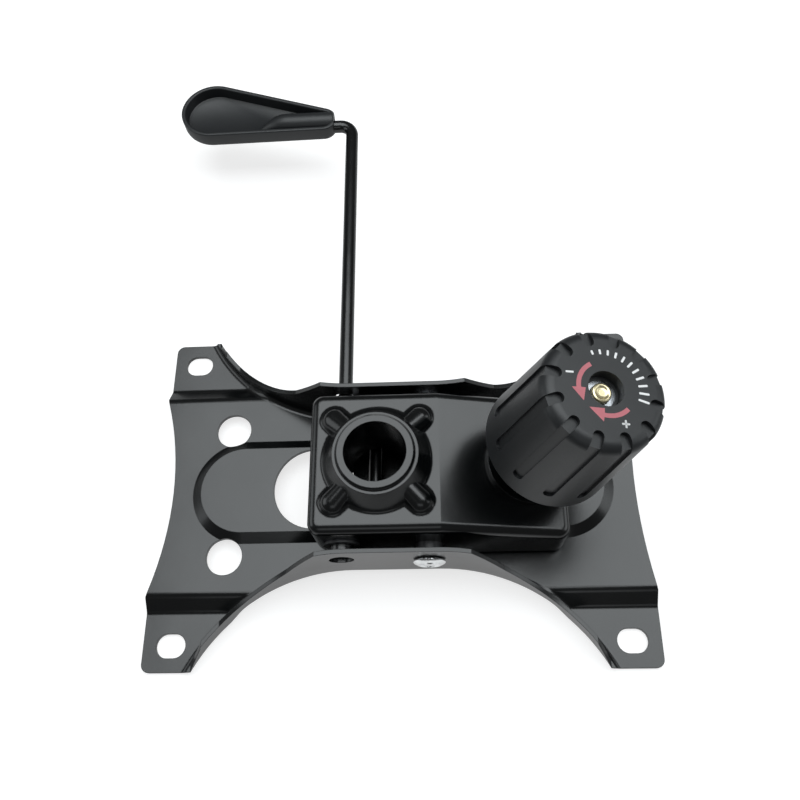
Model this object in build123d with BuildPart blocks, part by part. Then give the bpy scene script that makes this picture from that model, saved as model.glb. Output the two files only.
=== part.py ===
from build123d import *

import os
from math import atan2, cos, hypot, pi, radians, sin, sqrt, tan

os.makedirs("parts", exist_ok=True)

# Swivel and tilt mechanism of an office chair, lying on its seat face, in millimetres.
# The origin is the centre of the four seat slots on the seat face (Z = 0), +X points to the
# tension knob, +Y to the lever handle and +Z to the mouth of the gas lift socket.

# Seat plate
plate_t = 2.0
slot_pitch_x = 220.0
slot_pitch_y = 150.0
slot_len = 14.5
slot_w = 11.3
tab_end_x = 13.5  # from a slot's centre to the tab's outer edge
tab_end_y = 12.3
tab_corner_r = 4.0
rear_dip = 8.5  # how far the plate's two ends curve in between the tabs
front_dip = 5.0
joggle_rise = 5.5  # the middle of the plate stands this far off the seat
joggle_outer_y = 60.0
joggle_inner_y = 52.5
joggle_bend_r = 3.6
plateau_rise = 3.5
plateau_r = 27.0
plateau_slope = 5.0  # width of the sloped band round the plateau
plateau_rear_x = -77.7
plateau_front_x = 81.0
lightening_r = 9.0
lightening_x = -86.0
lightening_y = 33.4
window_r = 20.8
window_x = -41.4

# Side flanges of the seat plate
flange_out_y = 41.5
flange_top = 46.0
flange_flat_x = 35.0
flange_knee = (50.0, 28.8)  # points of the sloping top edge, as (X, Z)
flange_waist = (64.0, 19.6)
flange_tail = (84.0, 13.6)
flange_end_z = 12.6
runout_x = 92.0  # where the flange's last strip falls to the tab's end
runout_low_x = 98.5
runout_z = 4.5
runout_w = 14.0
flank_x = 21.0
flank_r = 88.0
bend_r = 3.0

# Tilt housing
housing_t = 2.5
housing_half_y = 34.0
housing_rear_x = -38.0
housing_front_x = 81.0
deck_z = 52.0
deck_front_x = 22.0
lean = 15.0  # slope of the front deck and lean of the tension bolt, in degrees
deck_edge_r = 4.5
corner_r = 6.0
tilt_max = 11.0
tilt_clear = 0.5  # left over the plateau at full tilt
rest_clear = 0.9  # left over the plateau at rest

# Gas lift socket
socket_x = -6.5
socket_top = 63.7
socket_bottom = 31.0
socket_out_r = 18.0
socket_bore_r = 14.1
socket_land = 4.0
socket_taper = 1 / 20  # on the diameter
socket_chamfer = 0.9
hub_drop = 2.0  # from the socket's mouth to the top of the drawn hub
hub_r = 25.5
hub_wall = 1.4
hub_foot_r = 2.5
lobe_reach = 34.0
lobe_end_r = 6.2
lobe_root_r = 4.6
lobe_len = 16.0
lobe_dip = 20.0  # slope of a lobe's axis, in degrees
lobe_drop = 1.5  # of the lobe's outer end, under the deck's face
socket_plate_z = 39.0
socket_plate_t = 2.5
socket_plate_margin = 7.0  # past the socket

# Pivot
pivot_x = 16.2
pivot_z = 29.5
axle_r = 4.0
head_r = 7.5
head_t = 1.3
head_edge = 0.6
head_ring = (2.8, 4.3, 5.3)  # radii of the groove a riveting tool leaves in the head
head_ring_t = 1.7
head_dome = 2.4
head_dome_r = 1.6
bush_wall = 2.0
bush_flange_r = 8.0
bush_flange_t = 1.2
washer_r = 6.8
washer_t = 1.2

# Lever
rod_r = 3.5
rod_x = -24.0
rod_z = 33.0
crank_x = 14.5
crank_z = -11.0
crank_bend_r = 5.0
grip_bend_r = 7.0
rod_corner_y = 213.0
rod_grip_x = -66.0
lever_travel = 6.0
lock_pin_r = 5.5
lock_pin_len = 12.0
lock_pin_setback = 0.9  # from the near flange's inside, with the lever pulled out
rod_setback = 0.5
lock_play = 0.3  # round the pin in the flange's hole
rod_play = 1.75  # round the rod in the far flange's slot
tip_chamfer = 0.8
lever_bush_r = 5.2
lever_bush_flange_r = 6.6
lever_bush_flange_t = 1.6
lever_bush_short = 1.0  # the bush ends this far from the wall's inside, clear of the crank
lock_bush_wall = 1.0
lock_bush_flange_r = 8.2
lock_bush_flange_t = 1.2

# Lever handle
grip_bulb_r = 19.0
grip_neck_r = 8.0
grip_bulb_x = -106.0
grip_neck_x = -41.0
grip_near_y = 6.2  # from the rod's axis to the handle's straight edge
grip_end_x = -34.5
grip_end_w = 12.0
grip_end_t = 4.0
grip_below = 5.5  # below the rod's axis
grip_above = 5.5
grip_wall = 2.6
grip_bow = 0.8  # how far the bulb's circle stands back from the straight edge's line
grip_floor = 4.0
grip_edge_r = 4.0
grip_rim_r = 0.7
grip_boss_r = 5.3
grip_boss_x = -64.0
grip_nose = (-73.0, 3.9)  # a point of the boss's pointed end, as (X, radius)
grip_tip_x = -80.0
grip_well_x = -61.0  # the floor is thinner beside the boss, from here to the end
grip_well_floor = 1.6

# Tension bolt, spring and knob, measured along the leaning axis
bolt_r = 4.0
ball_r = 9.0
ball_hole_r = 7.0
bolt_foot_x = 52.15
ball_play = 0.3  # under the plateau's hole
bolt_chamfer = 0.8
dish_r = 2.1  # the dished end of the bolt
dish_depth = 1.6
spring_wire = 5.5
spring_r = 16.0
spring_turns = 7.5
spring_end_gap = 0.7
spring_seat_r = 19.5
spring_seat_t = 2.5
spring_collar = 3.0
spring_hole_r = 11.2
collar_wall = 1.4
knob_gap = 28.3  # from the front deck to the knob's rim
knob_len = 57.7
knob_base_r = 29.0
knob_top_r = 24.8
knob_shoulder_r = 5.0
knob_rim_r = 1.2
knob_inner_r = 2.0
knob_wall = 2.6
knob_top_t = 5.0
knob_hub_r = 12.0
flutes = 12
flute_w = 4.4
flute_depth = 1.3
flute_base = 10.0
notch_r = 17.6
notch_depth = 2.2
notch_edge_r = 1.1
recess_r = 7.1
recess_depth = 5.3
nut_lip = 0.9
nut_view_r = 5.9
bolt_end_depth = 3.5
nut_across = 13.0
nut_len = 12.0
nut_face_r = 6.2  # of the flat face inside the nut's chamfer
cap_r = 20.0
cap_t = 2.0
thrust_t = 1.7

# Rubber buffer on the lower edge of the front wall
buffer_t = 2.7
buffer_half_y = 18.0
buffer_lip = 2.2
buffer_grip = 3.0

# Clearances
spare = 20.0  # how far blanks and cutters run past the piece
run = 0.1  # round a turning or sliding shaft
slip = 0.05  # between pieces of one weldment
seat = 0.2  # under a seated piece

# Levels and places that follow from the sizes
mid_z = joggle_rise + plate_t
plateau_z = mid_z + plateau_rise
plate_half_x = slot_pitch_x / 2 + tab_end_x
plate_half_y = slot_pitch_y / 2 + tab_end_y
flange_in_y = flange_out_y - plate_t
housing_in_y = housing_half_y - housing_t
rear_in_x = housing_rear_x + housing_t
front_in_x = housing_front_x - housing_t
front_top = deck_z - (housing_front_x - deck_front_x) * tan(radians(lean))
walls_bottom = plateau_z + rest_clear
buffer_z = plateau_z + seat + buffer_t + slip
stop_reach = pivot_z - plateau_z - tilt_clear
stop_z = pivot_z - stop_reach / cos(radians(tilt_max))
rear_bottom = stop_z + (pivot_x - housing_rear_x) * tan(radians(tilt_max))
hub_top = socket_top - hub_drop
crank_in_y = socket_out_r + rod_r + run
crank_out_y = crank_in_y + lever_travel
rod_end_y = -flange_in_y + rod_setback
lock_pin_end_y = -flange_in_y + lock_pin_setback
grip_bulb_y = rod_corner_y - grip_near_y + grip_bulb_r - grip_bow
grip_neck_y = rod_corner_y - grip_near_y + grip_neck_r
grip_low = rod_z - grip_below
grip_high = rod_z + grip_above
flank_centre_y = flange_out_y + flank_r
fold_shift = plate_t * tan(atan2(joggle_rise, joggle_outer_y - joggle_inner_y) / 2)
bearing_r = axle_r + run
bush_r = bearing_r + bush_wall

# The leaning frame: its origin is the centre of the bolt's ball head, Z runs up the bolt
ball_z = plateau_z - plate_t - sqrt(ball_r**2 - ball_hole_r**2) - ball_play
foot = (bolt_foot_x, 0, ball_z)
up = (sin(radians(lean)), 0, cos(radians(lean)))
across = (cos(radians(lean)), 0, -sin(radians(lean)))
bolt_axis = Axis(foot, up)
bolt_frame = Plane(origin=foot, x_dir=across, z_dir=up)
bolt_section = Plane(origin=foot, x_dir=across, z_dir=(0, -1, 0))  # sketches of (radius, height)
deck_s = (deck_front_x - bolt_foot_x) * up[0] + (deck_z - ball_z) * up[2]
knob_base_s = deck_s + knob_gap
knob_top_s = knob_base_s + knob_len
knob_section = Plane(origin=bolt_frame.offset(knob_base_s).origin, x_dir=across, z_dir=(0, -1, 0))
knob_hub_len = recess_depth + nut_lip + nut_len + 2 * slip
hub_s = knob_top_s - knob_hub_len
thrust_s = hub_s - seat - thrust_t
cap_s = thrust_s - seat - cap_t
spring_low_s = deck_s + spring_seat_t + seat
spring_high_s = cap_s - seat
collar_r = spring_hole_r + collar_wall
bolt_end_s = knob_top_s - bolt_end_depth


def on_flank(x, y, radius):
    """True where a plan point lies on the curved flank wall at this radius."""
    beyond = max(abs(x) - flank_x, 0)
    return abs(hypot(beyond, flank_centre_y - abs(y)) - radius) < 0.02


def flank_edges(shape, radius):
    """Low edges of a shape that run along the flank wall."""
    found = []
    for edge in shape.edges():
        points = [edge.position_at(share) for share in (0.1, 0.5, 0.9)]
        low = all(point.Z < plateau_z for point in points)
        if low and all(on_flank(point.X, point.Y, radius) for point in points):
            found.append(edge)
    return found


# Inside of the folded plate: all that lies over the sheet and between the flanges
with BuildPart() as plate_hollow:
    with BuildSketch(Plane.YZ):
        with BuildLine():
            Polyline(
                (0, mid_z),
                (joggle_inner_y - fold_shift, mid_z),
                (joggle_outer_y - fold_shift, plate_t),
                (plate_half_y + spare, plate_t),
                (plate_half_y + spare, flange_top + spare),
                (0, flange_top + spare),
                close=True,
            )
        make_face()
        fillet(vertices().sort_by_distance((joggle_inner_y, mid_z, 0))[0], joggle_bend_r + plate_t)
        fillet(vertices().sort_by_distance((joggle_outer_y, plate_t, 0))[0], joggle_bend_r)
        mirror(about=Plane.YZ)
    extrude(amount=plate_half_x + spare, both=True)
    with BuildSketch():
        Rectangle(2 * (plate_half_x + spare), 2 * (plate_half_y + spare))
        with Locations((0, flank_centre_y), (0, -flank_centre_y)):
            SlotCenterToCenter(2 * flank_x, 2 * (flank_r + plate_t), mode=Mode.SUBTRACT)
    extrude(amount=flange_top + spare, mode=Mode.INTERSECT)
    fillet(flank_edges(plate_hollow.part, flank_r + plate_t), bend_r)

# What the flanges lose above their sloping top edge
trim_x = plate_half_x + spare
with BuildPart() as flange_trim:
    with BuildSketch(Plane.XZ):
        with BuildLine():
            Line((flange_flat_x, flange_top), flange_knee)
            ThreePointArc(flange_knee, flange_waist, flange_tail)
            Polyline(
                flange_tail,
                (trim_x, flange_end_z),
                (trim_x, flange_top + spare),
                (flange_flat_x, flange_top + spare),
                (flange_flat_x, flange_top),
            )
        make_face()
        mirror(about=Plane.YZ)
    extrude(amount=plate_half_y + spare, both=True)
    # the flange runs out over the last of each tab
    for side in (-1, 1):
        with BuildSketch(Plane.XZ.offset(side * (plate_half_y - runout_w / 2))):
            with BuildLine():
                Polyline(
                    (runout_x, flange_tail[1]),
                    (runout_x, flange_end_z),
                    (runout_low_x, runout_z),
                    (trim_x, runout_z),
                    (trim_x, flange_tail[1]),
                    close=True,
                )
            make_face()
            mirror(about=Plane.YZ)
        extrude(amount=runout_w / 2 + slip, both=True)

# Seat plate: one pressed sheet with four slotted tabs, two flanges and a raised plateau
with BuildPart() as seat_plate:
    with BuildSketch(Plane.YZ):
        with BuildLine():
            Polyline(
                (0, joggle_rise),
                (joggle_inner_y, joggle_rise),
                (joggle_outer_y, 0),
                (plate_half_y + spare / 2, 0),
                (plate_half_y + spare / 2, flange_top),
                (0, flange_top),
                close=True,
            )
        make_face()
        fillet(vertices().sort_by_distance((joggle_inner_y, joggle_rise, 0))[0], joggle_bend_r)
        fillet(vertices().sort_by_distance((joggle_outer_y, 0, 0))[0], joggle_bend_r + plate_t)
        mirror(about=Plane.YZ)
    extrude(amount=plate_half_x + spare / 2, both=True)
    with BuildSketch():
        Rectangle(2 * plate_half_x + spare, 2 * plate_half_y + spare)
        with Locations((0, flank_centre_y), (0, -flank_centre_y)):
            SlotCenterToCenter(2 * flank_x, 2 * flank_r, mode=Mode.SUBTRACT)
    extrude(amount=flange_top, mode=Mode.INTERSECT)
    fillet(flank_edges(seat_plate.part, flank_r), bend_r + plate_t)
    with BuildSketch():
        Rectangle(2 * plate_half_x, 2 * plate_half_y)
        fillet(vertices(), tab_corner_r)
        rear_r = (joggle_inner_y**2 + rear_dip**2) / (2 * rear_dip)
        with Locations((-plate_half_x + rear_dip - rear_r, 0)):
            Circle(rear_r, mode=Mode.SUBTRACT)
        front_r = (joggle_inner_y**2 + front_dip**2) / (2 * front_dip)
        with Locations((plate_half_x - front_dip + front_r, 0)):
            Circle(front_r, mode=Mode.SUBTRACT)
    extrude(amount=flange_top, mode=Mode.INTERSECT)
    add(plate_hollow.part, mode=Mode.SUBTRACT)
    add(flange_trim.part, mode=Mode.SUBTRACT)
    # the oval plateau, raised from below
    plateau_len = plateau_front_x - plateau_rear_x
    plateau_mid = (plateau_front_x + plateau_rear_x) / 2
    under = plate_t * tan(atan2(plateau_rise, plateau_slope) / 2)
    for level, inset, how in ((mid_z, 0, Mode.ADD), (joggle_rise, under, Mode.SUBTRACT)):
        with BuildSketch(Plane.XY.offset(level)):
            with Locations((plateau_mid, 0)):
                SlotCenterToCenter(plateau_len, 2 * (plateau_r - inset))
        with BuildSketch(Plane.XY.offset(level + plateau_rise)):
            with Locations((plateau_mid, 0)):
                SlotCenterToCenter(plateau_len, 2 * (plateau_r - plateau_slope - inset))
        loft(ruled=True, mode=how)
    # slots and round holes
    with BuildSketch():
        with GridLocations(slot_pitch_x, slot_pitch_y, 2, 2):
            SlotOverall(slot_len, slot_w)
        with Locations((lightening_x, lightening_y), (lightening_x, -lightening_y)):
            Circle(lightening_r)
        with Locations((window_x, 0)):
            Circle(window_r)
        with Locations((bolt_foot_x, 0)):
            Circle(ball_hole_r)
    extrude(amount=plateau_z + slip, mode=Mode.SUBTRACT)
    # the pivot holes, the lock hole in the near flange and the lever's slot in the far one
    with BuildSketch(Plane.XZ):
        with Locations((pivot_x, pivot_z)):
            Circle(axle_r + slip)
    extrude(amount=flange_out_y + spare, both=True, mode=Mode.SUBTRACT)
    with BuildSketch(Plane.XZ.offset(flange_in_y)):
        with Locations((rod_x, rod_z)):
            Circle(lock_pin_r + lock_play)
    extrude(amount=2 * plate_t, both=True, mode=Mode.SUBTRACT)
    rod_drop = (pivot_x - rod_x) * sin(radians(tilt_max)) + 1
    with BuildSketch(Plane.XZ.offset(-flange_in_y)):
        with Locations((rod_x, rod_z - rod_drop / 2)):
            SlotCenterToCenter(rod_drop, 2 * (rod_r + rod_play), rotation=90)
    extrude(amount=2 * plate_t, both=True, mode=Mode.SUBTRACT)
seat_plate.part.label = "seat_plate"
export_step(seat_plate.part, "parts/seat_plate.step")
print("seat_plate", seat_plate.part.volume, seat_plate.part.is_valid, len(seat_plate.part.solids()))

# Pivot axle, riveted over at both flanges
with BuildPart() as pivot_axle:
    with BuildSketch(Plane.XZ):
        with Locations((pivot_x, pivot_z)):
            Circle(axle_r)
    extrude(amount=flange_out_y + slip, both=True)
    for side in (-1, 1):
        with BuildSketch(Plane.YZ.offset(pivot_x)):
            with BuildLine():
                Polyline(
                    (side * (flange_out_y + slip), pivot_z),
                    (side * (flange_out_y + slip), pivot_z + head_r - head_edge),
                    (side * (flange_out_y + head_edge), pivot_z + head_r),
                    (side * (flange_out_y + head_t), pivot_z + head_r),
                    (side * (flange_out_y + head_dome), pivot_z + head_ring[2]),
                    (side * (flange_out_y + head_ring_t), pivot_z + head_ring[1]),
                    (side * (flange_out_y + head_ring_t), pivot_z + head_ring[0]),
                    (side * (flange_out_y + head_dome), pivot_z + head_dome_r),
                    (side * (flange_out_y + head_dome), pivot_z),
                    close=True,
                )
            make_face()
        revolve(axis=Axis((pivot_x, 0, pivot_z), (0, 1, 0)))
pivot_axle.part.label = "pivot_axle"
export_step(pivot_axle.part, "parts/pivot_axle.step")
print("pivot_axle", pivot_axle.part.volume, pivot_axle.part.is_valid)

# Flanged bushes in the housing's walls, and the washers between them and the flanges
bush_end_y = flange_in_y - washer_t - 2 * run
with BuildPart() as pivot_bushes:
    for side in (-1, 1):
        with BuildSketch(Plane(origin=(pivot_x, side * bush_end_y, pivot_z), z_dir=(0, -side, 0))):
            Circle(bush_r)
            Circle(bearing_r, mode=Mode.SUBTRACT)
        extrude(amount=bush_end_y - housing_in_y + slip)
        bush_seat = (pivot_x, side * (housing_in_y - slip), pivot_z)
        with BuildSketch(Plane(origin=bush_seat, z_dir=(0, -side, 0))):
            Circle(bush_flange_r)
            Circle(bearing_r, mode=Mode.SUBTRACT)
        extrude(amount=bush_flange_t)
pivot_bushes.part.label = "pivot_bushes"
export_step(pivot_bushes.part, "parts/pivot_bushes.step")
print("pivot_bushes", pivot_bushes.part.volume, pivot_bushes.part.is_valid)

with BuildPart() as pivot_washers:
    for side in (-1, 1):
        with BuildSketch(Plane(origin=(pivot_x, side * (flange_in_y - run), pivot_z), z_dir=(0, -side, 0))):
            Circle(washer_r)
            Circle(bearing_r, mode=Mode.SUBTRACT)
        extrude(amount=washer_t)
pivot_washers.part.label = "pivot_washers"
export_step(pivot_washers.part, "parts/pivot_washers.step")
print("pivot_washers", pivot_washers.part.volume, pivot_washers.part.is_valid)


def rim(shape, half_y, rear_x, front_x):
    """Upper edges round the deck of the housing, without the fold across it."""
    found = []
    for edge in shape.edges():
        middle = edge.position_at(0.5)
        upright = abs(edge.tangent_at(0.5).Z) > 0.9
        outer = abs(middle.Y) > half_y - corner_r or min(middle.X - rear_x, front_x - middle.X) < corner_r
        if outer and not upright and middle.Z > front_top - 2 * housing_t:
            found.append(edge)
    return found


# Inside of the pressed housing
inner_fold_x = deck_front_x - housing_t * tan(radians(lean) / 2)
inner_deck_z = deck_z - housing_t
inner_front_z = inner_deck_z - (front_in_x - inner_fold_x) * tan(radians(lean))
with BuildPart() as housing_hollow:
    with BuildSketch(Plane.XZ):
        with BuildLine():
            Polyline(
                (rear_in_x, 0),
                (rear_in_x, inner_deck_z),
                (inner_fold_x, inner_deck_z),
                (front_in_x, inner_front_z),
                (front_in_x, 0),
                close=True,
            )
        make_face()
    extrude(amount=housing_in_y, both=True)
    fillet(housing_hollow.edges().filter_by(Axis.Z), corner_r - housing_t)
    fillet(rim(housing_hollow.part, housing_in_y, rear_in_x, front_in_x), deck_edge_r - housing_t)

# The hub drawn up round the socket with its four lobes: its outside, then its inside
hub_skins = []
for skin in (0, hub_wall):
    lobe_dir = (cos(radians(lobe_dip)), 0, -sin(radians(lobe_dip)))
    lobe_end = (lobe_reach - lobe_end_r, 0, deck_z - lobe_drop)
    with BuildPart() as lobe:
        with BuildSketch(Plane(origin=lobe_end, x_dir=lobe_dir, z_dir=(0, -1, 0))):
            Circle(lobe_end_r - skin)
            with Locations((-lobe_len, 0)):
                Circle(lobe_root_r - skin)
            make_hull()
            with Locations((-lobe_len / 2, -lobe_len)):
                Rectangle(4 * lobe_len, 2 * lobe_len, mode=Mode.SUBTRACT)
        revolve(axis=Axis(lobe_end, lobe_dir))
    hub_low = deck_z - housing_t - skin
    with BuildPart() as hub:
        with BuildSketch(Plane.XZ):
            with BuildLine():
                Polyline(
                    (socket_x, hub_low),
                    (socket_x + hub_r - skin, hub_low),
                    (socket_x + hub_r - skin, deck_z - 1 - skin),
                    (socket_x + socket_out_r + slip + hub_wall - skin, hub_top - skin),
                    (socket_x, hub_top - skin),
                    close=True,
                )
            make_face()
        revolve(axis=Axis((socket_x, 0, 0), (0, 0, 1)))
        with Locations((socket_x, 0)):
            with PolarLocations(0, 4, start_angle=45):
                add(lobe.part)
        split(bisect_by=Plane.XY.offset(hub_low), keep=Keep.TOP)
    hub_skins.append(hub.part)


def round_hub(edge):
    """True for an edge where the drawn hub meets the deck."""
    for share in (0.02, 0.5, 0.98):
        point = edge.position_at(share)
        reach = hypot(point.X - socket_x, point.Y)
        if abs(point.Z - deck_z) > 0.02 or not socket_out_r < reach < lobe_reach + 1:
            return False
    return True


# Tilt housing: a pressed cover over the middle of the plate, drawn up round the socket
stop_x = pivot_x - (walls_bottom - stop_z) / tan(radians(tilt_max))
with BuildPart() as tilt_housing:
    with BuildSketch(Plane.XZ):
        with BuildLine():
            Polyline(
                (housing_rear_x, rear_bottom),
                (housing_rear_x, deck_z),
                (deck_front_x, deck_z),
                (housing_front_x, front_top),
                (housing_front_x, walls_bottom),
                (stop_x, walls_bottom),
                close=True,
            )
        make_face()
    extrude(amount=housing_half_y, both=True)
    fillet(tilt_housing.edges().filter_by(Axis.Z), corner_r)
    fillet(rim(tilt_housing.part, housing_half_y, housing_rear_x, housing_front_x), deck_edge_r)
    # the drawn hub, outside and inside
    add(hub_skins[0])
    fillet([edge for edge in tilt_housing.edges() if round_hub(edge)], hub_foot_r)
    add(housing_hollow.part, mode=Mode.SUBTRACT)
    add(hub_skins[1], mode=Mode.SUBTRACT)
    # the socket's hole, the spring's hole and the holes in the walls
    with BuildSketch(Plane.XY.offset(deck_z)):
        with Locations((socket_x, 0)):
            Circle(socket_out_r + slip)
    extrude(amount=spare, both=True, mode=Mode.SUBTRACT)
    with BuildSketch(bolt_frame.offset(deck_s)):
        Circle(spring_hole_r)
    extrude(amount=2 * housing_t, both=True, mode=Mode.SUBTRACT)
    with BuildSketch(Plane.XZ):
        with Locations((pivot_x, pivot_z)):
            Circle(bush_r + slip)
    extrude(amount=housing_half_y, both=True, mode=Mode.SUBTRACT)
    with BuildSketch(Plane.XZ.offset(housing_in_y)):
        with Locations((rod_x, rod_z)):
            Circle(lock_pin_r + run + lock_bush_wall + slip)
    extrude(amount=housing_t, both=True, mode=Mode.SUBTRACT)
    with BuildSketch(Plane.XZ.offset(-housing_in_y)):
        with Locations((rod_x, rod_z)):
            Circle(lever_bush_r + slip)
    extrude(amount=-housing_t, both=True, mode=Mode.SUBTRACT)
    # the front wall stops short of the plateau for its rubber buffer
    with BuildSketch(Plane.YZ.offset(front_in_x)):
        with Locations((0, walls_bottom)):
            Rectangle(2 * buffer_half_y + 2 * slip, 2 * (buffer_z - walls_bottom))
    extrude(amount=housing_t, both=True, mode=Mode.SUBTRACT)
tilt_housing.part.label = "tilt_housing"
export_step(tilt_housing.part, "parts/tilt_housing.step")
print("tilt_housing", tilt_housing.part.volume, tilt_housing.part.is_valid, len(tilt_housing.part.solids()))

# Tapered socket for the gas lift
socket_axis = Axis((socket_x, 0, 0), (0, 0, 1))
socket_low_r = socket_bore_r - (socket_top - socket_land - socket_bottom) * socket_taper / 2
with BuildPart() as taper_socket:
    with BuildSketch(Plane.XZ.move(Location((socket_x, 0, 0)))):
        with BuildLine():
            Polyline(
                (socket_bore_r, socket_top),
                (socket_bore_r, socket_top - socket_land),
                (socket_low_r, socket_bottom),
                (socket_out_r, socket_bottom),
                (socket_out_r, socket_top),
                close=True,
            )
        make_face()
        chamfer(vertices().sort_by(Axis.X)[-2:], socket_chamfer)
    revolve(axis=socket_axis)
taper_socket.part.label = "taper_socket"
export_step(taper_socket.part, "parts/taper_socket.step")
print("taper_socket", taper_socket.part.volume, taper_socket.part.is_valid)

# Brace between the housing's walls that holds the socket's lower half
brace_front_x = socket_x + socket_out_r + socket_plate_margin
with BuildPart() as socket_brace:
    with BuildSketch(Plane.XY.offset(socket_plate_z)):
        with Locations(((rear_in_x + brace_front_x) / 2, 0)):
            Rectangle(brace_front_x - rear_in_x - 2 * slip, 2 * (housing_in_y - slip))
            chamfer(vertices(), corner_r - housing_t)
        with Locations((socket_x, 0)):
            Circle(socket_out_r + slip, mode=Mode.SUBTRACT)
    extrude(amount=socket_plate_t)
socket_brace.part.label = "socket_brace"
export_step(socket_brace.part, "parts/socket_brace.step")
print("socket_brace", socket_brace.part.volume, socket_brace.part.is_valid)

# Rubber buffer that clips on the front wall's lower edge
buffer_x = (front_in_x + housing_front_x) / 2
with BuildPart() as stop_buffer:
    with BuildSketch(Plane.XZ):
        with BuildLine():
            Polyline(
                (front_in_x - slip - buffer_lip, plateau_z + seat),
                (housing_front_x + slip + buffer_lip, plateau_z + seat),
                (housing_front_x + slip + buffer_lip, buffer_z + buffer_grip),
                (housing_front_x + slip, buffer_z + buffer_grip),
                (housing_front_x + slip, buffer_z - slip),
                (front_in_x - slip, buffer_z - slip),
                (front_in_x - slip, buffer_z + buffer_grip),
                (front_in_x - slip - buffer_lip, buffer_z + buffer_grip),
                close=True,
            )
        make_face()
    extrude(amount=buffer_half_y, both=True)
stop_buffer.part.label = "stop_buffer"
export_step(stop_buffer.part, "parts/stop_buffer.step")
print("stop_buffer", stop_buffer.part.volume, stop_buffer.part.is_valid)

# Lever rod, cranked under the socket
crank_low = (rod_x + crank_x, rod_z + crank_z)
with BuildPart() as lever_rod:
    with BuildLine():
        FilletPolyline(
            (rod_x, rod_end_y, rod_z),
            (rod_x, -crank_in_y, rod_z),
            (crank_low[0], -crank_in_y, crank_low[1]),
            (crank_low[0], crank_out_y, crank_low[1]),
            (rod_x, crank_out_y, rod_z),
            (rod_x, rod_corner_y / 2, rod_z),
            radius=crank_bend_r,
        )
        FilletPolyline(
            (rod_x, rod_corner_y / 2, rod_z),
            (rod_x, rod_corner_y, rod_z),
            (rod_grip_x, rod_corner_y, rod_z),
            radius=grip_bend_r,
        )
    with BuildSketch(Plane(origin=(rod_x, rod_end_y, rod_z), z_dir=(0, 1, 0))):
        Circle(rod_r)
    sweep()
    chamfer(lever_rod.edges().group_by(Axis.Y)[0], tip_chamfer)
lever_rod.part.label = "lever_rod"
export_step(lever_rod.part, "parts/lever_rod.step")
print("lever_rod", lever_rod.part.volume, lever_rod.part.is_valid, len(lever_rod.part.solids()))

# Lock pin: the sleeve on the rod's near end that drops into the flange's hole
with BuildPart() as lock_pin:
    with BuildSketch(Plane(origin=(rod_x, lock_pin_end_y, rod_z), z_dir=(0, 1, 0))):
        Circle(lock_pin_r)
        Circle(rod_r + slip, mode=Mode.SUBTRACT)
    extrude(amount=lock_pin_len)
    tip = lock_pin.edges().group_by(Axis.Y)[0].sort_by(SortBy.LENGTH)[-1]
    chamfer(tip, tip_chamfer)
lock_pin.part.label = "lock_pin"
export_step(lock_pin.part, "parts/lock_pin.step")
print("lock_pin", lock_pin.part.volume, lock_pin.part.is_valid)

# Guide bush of the lock pin in the near wall, and the rod's bush in the far wall
with BuildPart() as lock_bush:
    near_out = Plane(origin=(rod_x, -housing_half_y - lock_bush_flange_t, rod_z), z_dir=(0, 1, 0))
    with BuildSketch(near_out):
        Circle(lock_pin_r + run + lock_bush_wall)
    extrude(amount=housing_t + lock_bush_flange_t)
    with BuildSketch(near_out):
        Circle(lock_bush_flange_r)
    extrude(amount=lock_bush_flange_t - slip)
    with BuildSketch(near_out):
        Circle(lock_pin_r + run)
    extrude(amount=housing_t + lock_bush_flange_t, mode=Mode.SUBTRACT)
lock_bush.part.label = "lock_bush"
export_step(lock_bush.part, "parts/lock_bush.step")
print("lock_bush", lock_bush.part.volume, lock_bush.part.is_valid)

with BuildPart() as lever_bush:
    far_out = Plane(origin=(rod_x, housing_half_y + lever_bush_flange_t, rod_z), z_dir=(0, -1, 0))
    with BuildSketch(far_out):
        Circle(lever_bush_r)
    extrude(amount=housing_t - lever_bush_short + lever_bush_flange_t)
    with BuildSketch(far_out):
        Circle(lever_bush_flange_r)
    extrude(amount=lever_bush_flange_t - slip)
    with BuildSketch(far_out):
        Circle(rod_r + 2 * run)
    extrude(amount=housing_t + lever_bush_flange_t, mode=Mode.SUBTRACT)
lever_bush.part.label = "lever_bush"
export_step(lever_bush.part, "parts/lever_bush.step")
print("lever_bush", lever_bush.part.volume, lever_bush.part.is_valid)

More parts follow.
